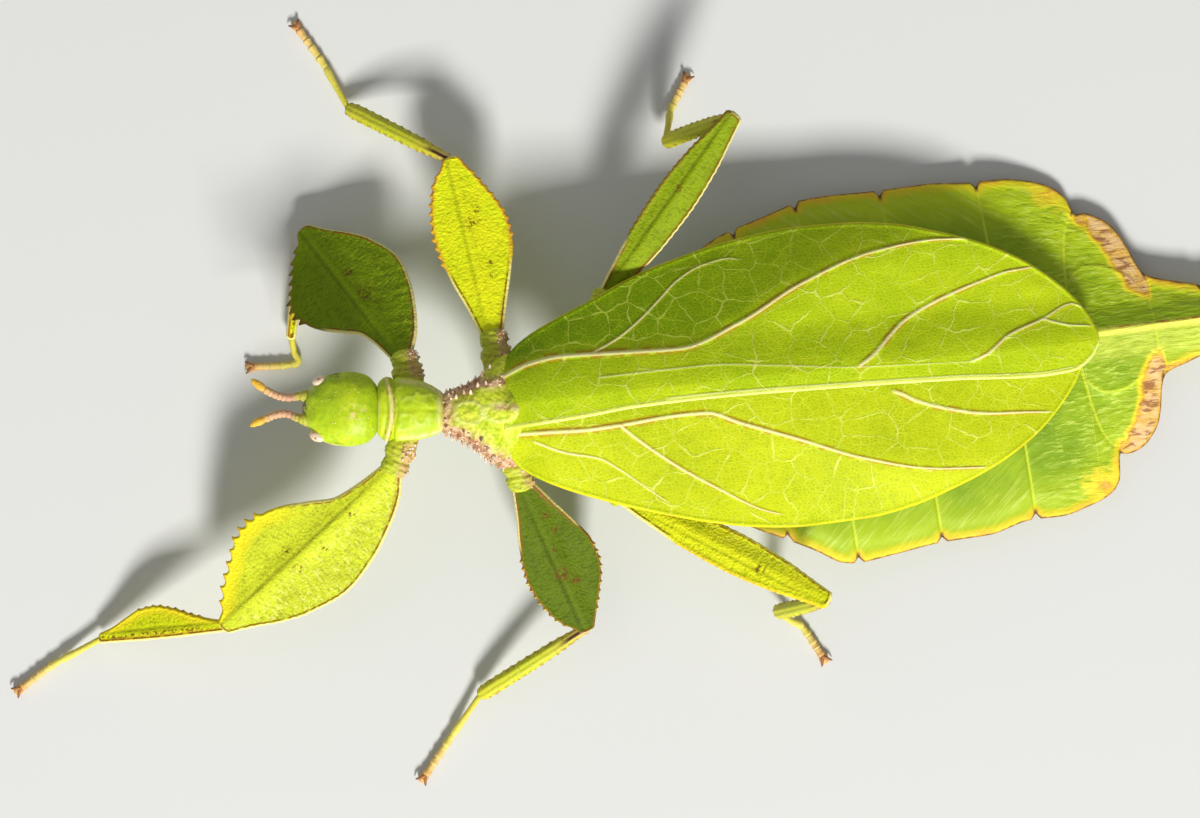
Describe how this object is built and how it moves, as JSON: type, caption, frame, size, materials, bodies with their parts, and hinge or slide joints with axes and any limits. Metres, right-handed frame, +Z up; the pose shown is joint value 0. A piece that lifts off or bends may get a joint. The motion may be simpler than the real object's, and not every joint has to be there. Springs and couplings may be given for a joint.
{
  "type": "leaf insect",
  "caption": "Adult female leaf insect standing at rest, closed forewings like a veined leaf over a broad lobed abdomen, leaf-like lobes on its legs.",
  "frame": {"origin": "on the ground, under the middle of the insect's bounding box", "axes": "+Z up; the head points along -X and the insect's right side is +Y"},
  "size_m": [0.1096, 0.0678, 0.0147],
  "materials": {
    "body_green": "satin living leaf green skin",
    "wing_green": "satin leaf green wing with pale veins",
    "lobe_green": "satin, finely grained yellow green",
    "shin_yellow": "satin yellow olive",
    "foot_tan": "satin orange tan",
    "hip_tan": "matt pink tan over green",
    "eye_pale": "glossy pale pink",
    "antenna_tan": "matt orange tan"
  },
  "bodies": {
    "root": {"abdomen": "body_green", "abdomen_tip": "body_green", "antenna_left": "antenna_tan", "antenna_right": "antenna_tan", "cercus_left": "hip_tan", "cercus_right": "hip_tan", "eye_left": "eye_pale", "eye_right": "eye_pale", "foot_fore_left": "foot_tan", "foot_fore_right": "foot_tan", "foot_hind_left": "foot_tan", "foot_hind_right": "foot_tan", "foot_mid_left": "foot_tan", "foot_mid_right": "foot_tan", "head": "body_green", "hip_fore_left": "hip_tan", "hip_fore_right": "hip_tan", "hip_hind_left": "hip_tan", "hip_hind_right": "hip_tan", "hip_mid_left": "hip_tan", "hip_mid_right": "hip_tan", "mesothorax": "hip_tan", "metathorax": "body_green", "mouthparts": "hip_tan", "palp_left": "antenna_tan", "palp_right": "antenna_tan", "pronotum": "body_green", "shin_fore_left": "shin_yellow", "shin_fore_right": "shin_yellow", "shin_hind_left": "shin_yellow", "shin_hind_right": "shin_yellow", "shin_mid_left": "shin_yellow", "shin_mid_right": "shin_yellow", "thigh_fore_left": "lobe_green", "thigh_fore_right": "lobe_green", "thigh_hind_left": "lobe_green", "thigh_hind_right": "lobe_green", "thigh_mid_left": "lobe_green", "thigh_mid_right": "lobe_green", "wing_left": "wing_green", "wing_right": "wing_green"}
  },
  "joints": []
}
